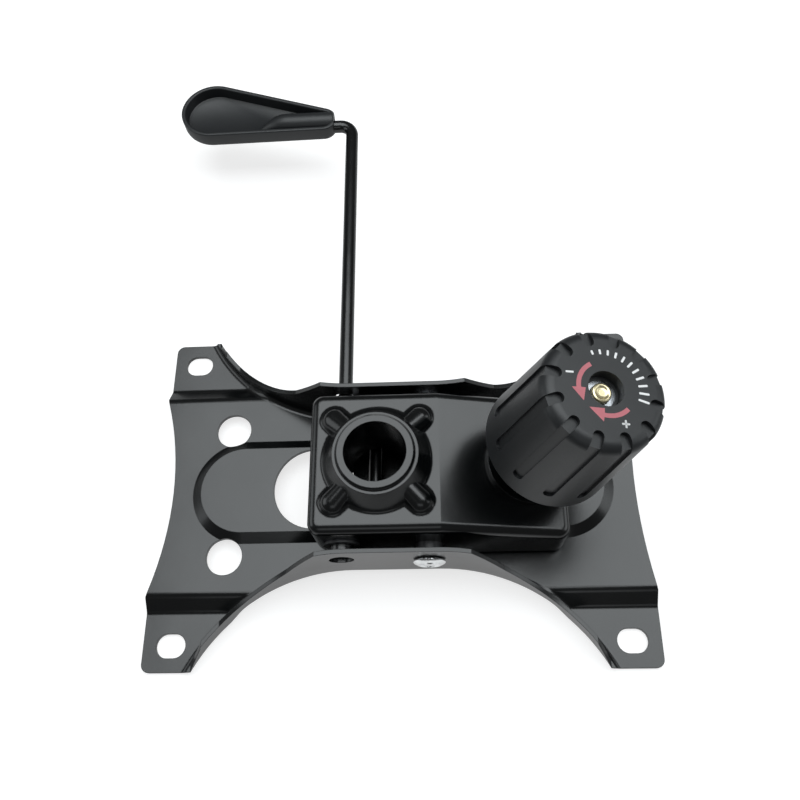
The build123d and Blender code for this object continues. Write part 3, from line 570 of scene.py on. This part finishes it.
def turned(sections, vertices=64):
    """In edit mode, a closed round solid up +Z, through sections (X, Y, height, radius) in mm."""
    x, y, height, radius = sections[0]
    obj = start(
        bpy.ops.mesh.primitive_circle_add,
        vertices=vertices,
        radius=radius * MM,
        fill_type="NGON",
        location=(x * MM, y * MM, height * MM),
    )
    for to_x, to_y, to_height, to_radius in sections[1:]:
        step = Vector((to_x - x, to_y - y, to_height - height)) * MM
        bpy.ops.mesh.extrude_region_move(TRANSFORM_OT_translate={"value": step})
        share = to_radius / radius
        middle = Vector((to_x, to_y, to_height)) * MM
        bpy.ops.transform.resize(value=(share, share, 1), center_override=middle)
        x, y, height, radius = to_x, to_y, to_height, to_radius
    face_out()
    return obj


class SWIVEL_OT_stage(bpy.types.Operator):
    """Makes the paper, the soft panels, the world and the camera"""

    bl_idname = "swivel.stage"
    bl_label = "Studio"

    def execute(self, context):
        scene = context.scene
        scene.view_settings.view_transform = "Standard"
        bpy.ops.mesh.primitive_plane_add(size=6, location=(0, 0, -0.3 * MM))
        floor = context.object
        floor.name = "studio_floor"
        floor.data.materials.append(studio_paper())

        # white to the camera, dim to all that it lights
        world = bpy.data.worlds.new("studio_air")
        scene.world = world
        world.use_nodes = True
        air = world.node_tree
        air.nodes.clear()
        end = add_node(air, "ShaderNodeOutputWorld")
        seen = add_node(air, "ShaderNodeLightPath")
        dim = add_node(
            air,
            "ShaderNodeMapRange",
            {"To Min": 0.12, "To Max": 1.0},
            {"Value": seen.outputs["Is Camera Ray"]},
        )
        soft = add_node(
            air, "ShaderNodeBackground", {"Color": (1, 1, 1, 1)}, {"Strength": dim.outputs[0]}
        )
        air.links.new(soft.outputs[0], end.inputs[0])

        for name, place, aim, size, power in PANELS:
            lamp = bpy.data.lights.new(name, "AREA")
            lamp.shape = "RECTANGLE"
            lamp.size, lamp.size_y = size
            lamp.energy = power
            lamp.color = PANEL_TINT
            panel = bpy.data.objects.new(name, lamp)
            scene.collection.objects.link(panel)
            panel.location = place
            way = Vector(aim) - Vector(place)
            panel.rotation_euler = way.to_track_quat("-Z", "Y").to_euler()

        view = scene.swivel_camera
        lens = bpy.data.cameras.new("photo_camera")
        lens.sensor_width = 36
        lens.lens = view.focal
        lens.clip_start = 0.01
        camera = bpy.data.objects.new("photo_camera", lens)
        scene.collection.objects.link(camera)
        turn = Matrix.Rotation(view.yaw, 4, "Y") @ Matrix.Rotation(view.tilt, 4, "X")
        turn = turn @ Matrix.Rotation(view.roll, 4, "Z")
        camera.matrix_world = Matrix.Translation(Vector(view.place)) @ turn
        scene.camera = camera
        return {"FINISHED"}


class SWIVEL_OT_finishes(bpy.types.Operator):
    """Coats, plates and grains the pieces that keep their CAD shape"""

    bl_idname = "swivel.finishes"
    bl_label = "Finishes"

    def execute(self, context):
        colours = context.scene.swivel_colours
        satin = satin_grain("satin_black_nylon", colours.knob)
        smooth = satin_grain("smooth_black_nylon", colours.black_bush, 2.0, (0.3, 0.4), 0.01)
        grey = satin_grain("grey_nylon", colours.bush, 2.0, (0.3, 0.42), 0.01)
        rubber = satin_grain("black_rubber", colours.rubber, 0.6, (0.6, 0.75), 0.1)
        bright = zinc_plate("bright_zinc", colours.zinc, colours.zinc_cloud)
        for material, nodes in (
            (e_coat(), COATED),
            (spring_wire(), ("tension_spring",)),
            (satin, ("tension_knob", "lever_handle")),
            (smooth, ("lock_bush", "pivot_bushes")),
            (grey, ("thrust_washer",)),
            (bright, PLATED),
            (rubber, ("stop_buffer",)),
        ):
            for node in nodes:
                finish(node, material)
        return {"FINISHED"}


class SWIVEL_OT_axle(bpy.types.Operator):
    """The pivot axle with both heads spun over by the riveting tool"""

    bl_idname = "swivel.axle"
    bl_label = "Pivot axle"

    pivot: position("Pivot", "Middle of the axle", (16.2, 0, 29.5))
    shank_r: length("Shank", "Radius of the axle", 4.0)
    grip: length("Grip", "From the middle to a head", 41.5)

    def execute(self, context):
        colours = context.scene.swivel_colours
        grip = self.grip / MM
        half = ((self.shank_r / MM, SPUN_HEAD[0][1]), *SPUN_HEAD)
        profile = [(0, 0, -grip - over, radius) for radius, over in reversed(half)]
        profile += [(0, 0, grip + over, radius) for radius, over in half]
        axle = turned(profile)
        place = Matrix.Translation(Vector(self.pivot)) @ Matrix.Rotation(-pi / 2, 4, "X")
        spun = zinc_plate("spun_zinc", colours.spun, colours.spun_cloud, (0.12, 0.24), 1.3)
        close_piece(axle, "riveted_axle", spun, "seat_base", place, smooth=radians(28))
        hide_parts("pivot_axle")
        return {"FINISHED"}


class SWIVEL_OT_handle(bpy.types.Operator):
    """The moulded handle: a tray with a round rim, a lower floor at its neck and the rod's boss"""

    bl_idname = "swivel.handle"
    bl_label = "Lever handle"

    bulb: position("Bulb", "Middle of the round end, on the underside", (-106, 225, 27.5))
    neck: position("Neck", "From the bulb's middle to the neck's", (65, -10.2, 0))
    bulb_r: length("Bulb radius", "Of the outline at the round end", 19)
    neck_r: length("Neck radius", "Of the outline at the neck", 8)
    end: length("End", "Flat end from the bulb's middle", 71.5)
    high: length("Height", "Of the tray", 11)
    wall: length("Wall", "Thickness at the rim", 2.4)
    deep: length("Depth", "Of the tray", 6.6)
    well: length("Well", "From the bulb's middle to where the floor drops", 45)
    well_deep: length("Well depth", "How far the floor drops", 2.2)
    rim_r: length("Rim", "Rounding of the rim", 0.8)
    side: length("Side", "Upright part of the wall", 7)
    foot_step: length("Foot", "One step of the underside's rounding", 1.2)

    def tray(self):
        """The tray, its bulb's middle at the origin and its neck towards +X."""
        tray = start(
            bpy.ops.mesh.primitive_circle_add,
            vertices=128,
            radius=self.bulb_r,
            fill_type="NGON",
        )
        way = Vector(self.neck)
        tangent = (self.bulb_r - self.neck_r) / way.length * self.bulb_r
        pick(tray, "VERT", lambda at: at.dot(way.normalized()) > tangent)
        share = self.neck_r / self.bulb_r
        bpy.ops.transform.resize(value=(share, share, 1), center_override=(0, 0, 0))
        bpy.ops.transform.translate(value=way)
        bpy.ops.mesh.select_all(action="SELECT")
        foot = self.high - self.side
        bpy.ops.transform.translate(value=(0, 0, foot))
        bpy.ops.mesh.extrude_region_move(TRANSFORM_OT_translate={"value": (0, 0, self.side)})
        bpy.ops.mesh.inset(thickness=self.wall, depth=0)
        bpy.ops.mesh.inset(thickness=TRAY_DRAFT * MM, depth=-self.deep)
        bpy.ops.mesh.inset(thickness=TRAY_FILLET * MM, depth=-TRAY_FILLET_DEEP * MM)
        floor = self.high - self.deep - TRAY_FILLET_DEEP * MM
        bpy.ops.mesh.bisect(plane_co=(self.well, 0, 0), plane_no=(1, 0, 0))
        pick(tray, "FACE", lambda at: at.x > self.well and abs(at.z - floor) < 0.02 * MM)
        bpy.ops.mesh.inset(thickness=WELL_DRAFT * MM, depth=-self.well_deep)
        pick(tray, "FACE", lambda at: at.z > self.high * 0.999)
        bpy.ops.mesh.region_to_loop()
        bpy.ops.mesh.bevel(offset=self.rim_r, segments=4, affect="EDGES")
        # the underside rounds in steps from the wall
        face_out()
        pick(tray, "FACE", lambda at: abs(at.z - foot) < 0.01 * MM)
        for lean in FOOT_LEANS:
            inward, down = sin(radians(lean)), cos(radians(lean))
            bpy.ops.mesh.inset(thickness=inward * self.foot_step, depth=down * self.foot_step)
        cut_off((self.end, 0, 0), (1, 0, 0))
        bpy.ops.object.mode_set(mode="OBJECT")
        return tray

    def boss(self):
        """The rod's boss, turned up +Z and laid along +X, with its nose on the tray's floor."""
        boss = turned(ROD_BOSS, vertices=56)
        bpy.ops.object.mode_set(mode="OBJECT")
        only(boss)
        bpy.ops.object.transform_apply(location=True, rotation=True, scale=True)
        boss.data.transform(Matrix(((0, 0, 1, 0), (0, 1, 0, 0), (1, 0, 0, 0), (0, 0, 0, 1))))
        return boss

    def execute(self, context):
        handle, boss = self.tray(), self.boss()
        only(handle)
        boss.select_set(True)
        bpy.ops.object.join()
        bpy.ops.object.mode_set(mode="EDIT")
        face_out()
        close_piece(
            handle,
            "moulded_handle",
            bpy.data.materials["satin_black_nylon"],
            "lever",
            Matrix.Translation(Vector(self.bulb)),
            smooth=radians(32),
        )
        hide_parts("lever_handle")
        return {"FINISHED"}


class SWIVEL_OT_spring(bpy.types.Operator):
    """The tension spring with ground ends, parted between the tilt's squeeze and the knob's"""

    bl_idname = "swivel.spring"
    bl_label = "Spring"

    ground: length("Ground", "Taken off each end", 0.9)
    share: bpy.props.FloatProperty(
        name="Share", description="Of its length that the tilt squeezes", default=0.52
    )
    keep: bpy.props.FloatProperty(
        name="Keep", description="What is left of that length at full tilt", default=0.63
    )

    def part(self, up, low, high):
        """The coil between two heights along the bolt."""
        coil = copy_of_node("tension_spring")
        for level, way in ((low, -1), (high, 1)):
            cut_off(up * level, up * way)
        bpy.ops.object.mode_set(mode="OBJECT")
        return coil

    def execute(self, context):
        lean = context.scene.swivel_sizes.lean
        up = Vector((sin(lean), 0, cos(lean)))
        along = [v.co.dot(up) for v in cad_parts["tension_spring"].data.vertices]
        low, high = min(along) + self.ground, max(along) - self.ground
        middle = low + (high - low) * self.share
        wire, slot = spring_wire(), "spring_black"
        lower = self.part(up, low, middle)
        close_piece(lower, "lower_coil", wire, "bolt", smooth=radians(40))
        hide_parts("tension_spring")
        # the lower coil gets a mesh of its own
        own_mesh(lower)
        upper = self.part(up, middle, high)
        close_piece(upper, "upper_coil", wire, None, smooth=radians(40))
        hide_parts("tension_spring")
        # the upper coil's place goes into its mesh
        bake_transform(upper)
        return {"FINISHED"}


class SWIVEL_OT_bolt(bpy.types.Operator):
    """The tension bolt with its rolled thread and dished end"""

    bl_idname = "swivel.bolt"
    bl_label = "Tension bolt"

    end_drop: length("End", "Of the bolt, under the knob's top", 3.5)
    end_len: length("End length", "Of the plain end over the thread", 1.4)
    chamfer: length("Chamfer", "On the bolt's end", 0.75)

    def thread(self, sizes, long):
        """One turn of the thread's outline, screwed up +Z and cut flat a turn from each end."""
        ridge = start(bpy.ops.mesh.primitive_plane_add, size=MM)
        bpy.ops.mesh.delete(type="ONLY_FACE")
        pick(ridge, "EDGE", lambda at: at.x < -0.4 * MM)
        bpy.ops.mesh.delete(type="EDGE")
        root = sizes.thread_r - sizes.thread_depth
        outline = (
            (root, 0),
            (sizes.thread_r, CREST[0] * sizes.pitch),
            (sizes.thread_r, CREST[1] * sizes.pitch),
            (root, sizes.pitch),
        )
        shape = bmesh.from_edit_mesh(ridge.data)
        chain = [v for v in shape.verts if len(v.link_edges) == 1][:1]
        while len(chain) < len(shape.verts):
            ahead = [edge.other_vert(chain[-1]) for edge in chain[-1].link_edges]
            chain += [vert for vert in ahead if vert not in chain]
        for vert, (radius, height) in zip(chain, outline):
            vert.co = (radius, 0, height)
        bmesh.update_edit_mesh(ridge.data)
        bpy.ops.object.mode_set(mode="OBJECT")
        screw = ridge.modifiers.new("screw", "SCREW")
        screw.screw_offset = sizes.pitch
        screw.iterations = sizes.thread_turns
        screw.steps = screw.render_steps = 36
        screw.use_merge_vertices = True
        screw.merge_threshold = SAME
        bpy.ops.object.modifier_apply(modifier="screw")
        bpy.ops.object.mode_set(mode="EDIT")
        bpy.ops.mesh.select_all(action="SELECT")
        # the seams between turns lie a little further apart than other doubles
        bpy.ops.mesh.remove_doubles(threshold=5 * SAME)
        for level, way in ((sizes.pitch, -1), (long - sizes.pitch, 1)):
            cut_off((0, 0, level), (0, 0, way))
        face_out()
        bpy.ops.object.mode_set(mode="OBJECT")
        ridge.data.transform(knob_place(self.end_drop + self.end_len / 2 + long - sizes.pitch))
        return ridge

    def dished_end(self, sizes):
        """The chamfered end with its dish."""
        half = self.end_len / 2
        end = start(
            bpy.ops.mesh.primitive_cylinder_add,
            vertices=64,
            radius=sizes.thread_r,
            depth=self.end_len,
        )
        rim = 0.9 * sizes.thread_r
        pick(end, "EDGE", lambda at: at.z > half * 0.99 and at.xy.length > rim)
        bpy.ops.mesh.bevel(offset=self.chamfer, segments=2, affect="EDGES")
        pick(end, "FACE", lambda at: at.z > half * 0.99)
        for thickness, depth in DISH:
            bpy.ops.mesh.inset(thickness=thickness * MM, depth=depth * MM)
        bpy.ops.object.mode_set(mode="OBJECT")
        end.data.transform(knob_place(self.end_drop + half))
        return end

    def execute(self, context):
        sizes = context.scene.swivel_sizes
        up = Vector((sin(sizes.lean), 0, cos(sizes.lean)))
        long = sizes.pitch * sizes.thread_turns
        thread, end = self.thread(sizes, long), self.dished_end(sizes)
        # the plain shank and the ball keep their CAD shape
        bolt = copy_of_node("tension_bolt")
        cut_off(knob_place(self.end_drop + long - 2.5 * sizes.pitch).translation, up)
        bpy.ops.object.mode_set(mode="OBJECT")
        thread.select_set(True)
        end.select_set(True)
        bpy.ops.object.join()
        # and the whole bolt keeps the frame's plain yellow zinc
        zinc = bolt.data.materials[0]
        close_piece(bolt, "threaded_bolt", zinc, "bolt", smooth=radians(30))
        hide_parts("tension_bolt")
        return {"FINISHED"}


class SWIVEL_OT_prints(bpy.types.Operator):
    """Arrows, scale marks, plus and minus printed on the knob's top"""

    bl_idname = "swivel.prints"
    bl_label = "Knob prints"

    marks: bpy.props.IntProperty(name="Marks", description="On the scale", default=11)
    scale_r: length("Scale radius", "Middle of the marks and signs, from the knob's", 15)
    first: turn_by("First mark", "Its angle round the knob", 106)
    last: turn_by("Last mark", "Its angle round the knob", -16)
    short: length("Short mark", "Length of the first mark", 1.8)
    growth: length("Growth", "From the first mark's length to the last one's", 2.6)
    mark_w: length("Mark width", "Of the scale marks", 0.9)
    minus: turn_by("Minus", "Its angle round the knob", 158)
    plus: turn_by("Plus", "Its angle round the knob", -66)
    sign: length("Sign", "Length of a sign's bar", 3.2)
    sign_w: length("Sign width", "Of a sign's bar", 0.8)

    def arrow(self, name, begin, end, tip):
        """A flat curved arrow round the knob's recess, between these angles."""
        sizes = bpy.context.scene.swivel_sizes
        radius, half = sizes.arrow_r, sizes.arrow_w / 2
        way = 1 if end > begin else -1
        heading = end - begin
        arrow = start(bpy.ops.mesh.primitive_plane_add, size=MM, location=(radius, 0, 0))
        sliver = 0.05 * MM
        shape = bmesh.from_edit_mesh(arrow.data)
        for vert in shape.verts:
            vert.co.x = half if vert.co.x > 0 else -half
            vert.co.y = sliver if vert.co.y > 0 else -sliver
        bmesh.update_edit_mesh(arrow.data)
        pick(arrow, "EDGE", lambda at: at.y * way > sliver * 0.9)
        bpy.ops.mesh.spin(steps=20, angle=heading, center=(0, 0, 0), axis=(0, 0, -1))
        base = Vector((cos(heading), sin(heading), 0)) * radius
        bpy.ops.mesh.extrude_region_move(TRANSFORM_OT_translate={"value": (0, 0, 0)})
        flare = sizes.arrow_head / sizes.arrow_w
        bpy.ops.transform.resize(value=(flare, flare, flare), center_override=base)
        point = Vector((cos(tip - begin), sin(tip - begin), 0)) * radius
        bpy.ops.mesh.extrude_region_move(TRANSFORM_OT_translate={"value": point - base})
        bpy.ops.mesh.merge(type="CENTER")
        bpy.ops.mesh.select_all(action="SELECT")
        bpy.ops.mesh.remove_doubles(threshold=SAME)
        face_out()
        bpy.ops.object.mode_set(mode="OBJECT")
        skin = arrow.modifiers.new("skin", "SOLIDIFY")
        skin.thickness = sizes.print_t
        skin.offset = 0
        place = knob_place() @ Matrix.Rotation(begin, 4, "Z")
        red = pad_print("red_pad_print", bpy.context.scene.swivel_colours.arrow)
        close_piece(arrow, name, red, "knob", place)

    def bar(self, name, angle, radial, tangential, upright=False, cross=False):
        """One printed bar, or two crossed ones, with round ends."""
        white = pad_print("white_pad_print", bpy.context.scene.swivel_colours.mark)
        print_t = bpy.context.scene.swivel_sizes.print_t
        obj = start(bpy.ops.mesh.primitive_plane_add, size=1)
        bpy.ops.transform.resize(value=(radial, tangential, 1))
        if cross:
            bpy.ops.mesh.subdivide(number_cuts=1)
            bpy.ops.mesh.select_all(action="SELECT")
            bpy.ops.mesh.duplicate()
            bpy.ops.transform.rotate(value=pi / 2, orient_axis="Z", center_override=(0, 0, 0))
        bpy.ops.mesh.select_all(action="SELECT")
        rounding = min(radial, tangential) * 0.35
        bpy.ops.mesh.bevel(offset=rounding, segments=3, affect="VERTICES")
        bpy.ops.mesh.extrude_region_move(TRANSFORM_OT_translate={"value": (0, 0, print_t / 2)})
        place = knob_place() @ Matrix.Rotation(angle, 4, "Z")
        place = place @ Matrix.Translation((self.scale_r, 0, 0))
        if upright:
            place = place @ Matrix.Rotation(-angle, 4, "Z")
        close_piece(obj, name, white, "knob", place)

    def execute(self, context):
        for name, *angles in ARROWS:
            self.arrow(name, *map(radians, angles))
        # a scale whose marks grow towards the tighter end
        for index in range(self.marks):
            share = index / (self.marks - 1)
            angle = self.first + (self.last - self.first) * share
            name = f"scale_mark_{index + 1:02d}"
            self.bar(name, angle, self.short + self.growth * share, self.mark_w)
        self.bar("minus_sign", self.minus, self.sign, self.sign_w, upright=True)
        self.bar("plus_sign", self.plus, self.sign, self.sign_w, upright=True, cross=True)
        return {"FINISHED"}


class SWIVEL_PT_panel(bpy.types.Panel):
    """Lists the steps, colours, sizes and the camera"""

    bl_label = "Swivel Plate"
    bl_space_type = "VIEW_3D"
    bl_region_type = "UI"
    bl_category = "Swivel Plate"

    def draw(self, context):
        scene = context.scene
        for step in STEPS:
            self.layout.operator(step.bl_idname)
        for group in (scene.swivel_colours, scene.swivel_sizes, scene.swivel_camera):
            for name in type(group).__annotations__:
                self.layout.prop(group, name)


STEPS = (
    SWIVEL_OT_stage,
    SWIVEL_OT_finishes,
    SWIVEL_OT_axle,
    SWIVEL_OT_handle,
    SWIVEL_OT_spring,
    SWIVEL_OT_bolt,
    SWIVEL_OT_prints,
)
CLASSES = (SwivelColours, SwivelSizes, SwivelCamera, *STEPS, SWIVEL_PT_panel)


def register():
    for one in CLASSES:
        bpy.utils.register_class(one)
    bpy.types.Scene.swivel_colours = bpy.props.PointerProperty(type=SwivelColours)
    bpy.types.Scene.swivel_sizes = bpy.props.PointerProperty(type=SwivelSizes)
    bpy.types.Scene.swivel_camera = bpy.props.PointerProperty(type=SwivelCamera)


def unregister():
    del bpy.types.Scene.swivel_camera
    del bpy.types.Scene.swivel_sizes
    del bpy.types.Scene.swivel_colours
    for one in reversed(CLASSES):
        bpy.utils.unregister_class(one)


def main():
    register()
    bpy.ops.object.select_all(action="DESELECT")
    bpy.ops.swivel.stage()
    bpy.ops.swivel.finishes()
    bpy.ops.swivel.axle()
    bpy.ops.swivel.handle()
    bpy.ops.swivel.spring()
    bpy.ops.swivel.bolt()
    bpy.ops.swivel.prints()
    bpy.context.view_layer.update()


if __name__ == "__main__":
    main()
